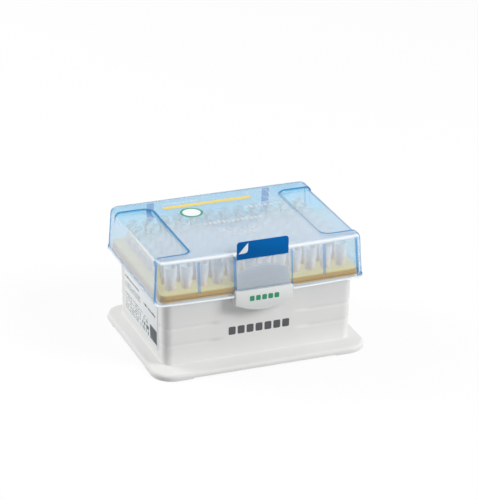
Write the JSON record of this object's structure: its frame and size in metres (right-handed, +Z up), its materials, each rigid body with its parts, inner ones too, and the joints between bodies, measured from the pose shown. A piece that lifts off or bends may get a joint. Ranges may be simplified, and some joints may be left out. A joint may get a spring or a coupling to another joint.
{
  "type": "pipette tip box",
  "caption": "Hinged box of pipette tips: white footed tub, yellow tray of upright tips, clear bowed lid with a front latch and a pull-tab seal.",
  "frame": {"origin": "middle of the tub's foot, on its underside", "axes": "+Z up, front with the latch towards -Y, +X along the rows of twelve tips"},
  "size_m": [0.1248, 0.0976, 0.0748],
  "materials": {
    "white_moulding": "satin moulded plastic",
    "yellow_moulding": "satin moulded plastic",
    "tip_plastic": "natural translucent plastic",
    "clear_lid": "clear, blue tinted, polished",
    "latch_moulding": "satin moulded plastic",
    "clear_film": "clear film",
    "blue_foil": "printed blue",
    "label_paper": "matt paper"
  },
  "bodies": {
    "box": {"base_tub": "white_moulding", "tip_tray": "yellow_moulding", "tip_G01": "tip_plastic", "tip_G02": "tip_plastic", "tip_G03": "tip_plastic", "tip_G04": "tip_plastic", "tip_G05": "tip_plastic", "tip_G06": "tip_plastic", "tip_G07": "tip_plastic", "tip_G08": "tip_plastic", "tip_G09": "tip_plastic", "tip_G10": "tip_plastic", "tip_G11": "tip_plastic", "tip_G12": "tip_plastic", "tip_H01": "tip_plastic", "tip_H02": "tip_plastic", "tip_H03": "tip_plastic", "tip_H04": "tip_plastic", "tip_H05": "tip_plastic", "tip_H06": "tip_plastic", "tip_H07": "tip_plastic", "tip_H08": "tip_plastic", "tip_H09": "tip_plastic", "tip_H10": "tip_plastic", "tip_H11": "tip_plastic", "tip_H12": "tip_plastic", "side_label": "label_paper"},
    "hinged_lid": {"lid": "clear_lid", "seal_film": "clear_film", "pull_tab": "blue_foil"},
    "front_latch": {"latch_tab": "latch_moulding"}
  },
  "joints": [
    {"name": "lid_hinge", "type": "hinge", "parent": "box", "child": "hinged_lid", "pos_m": [0, 0.0454, 0.043], "axis": [-1, 0, 0], "range_deg": [0, 105]},
    {"name": "latch_pivot", "type": "hinge", "parent": "box", "child": "front_latch", "pos_m": [0, -0.04145, 0.04], "axis": [-1, 0, 0], "range_deg": [0, 6]}
  ]
}
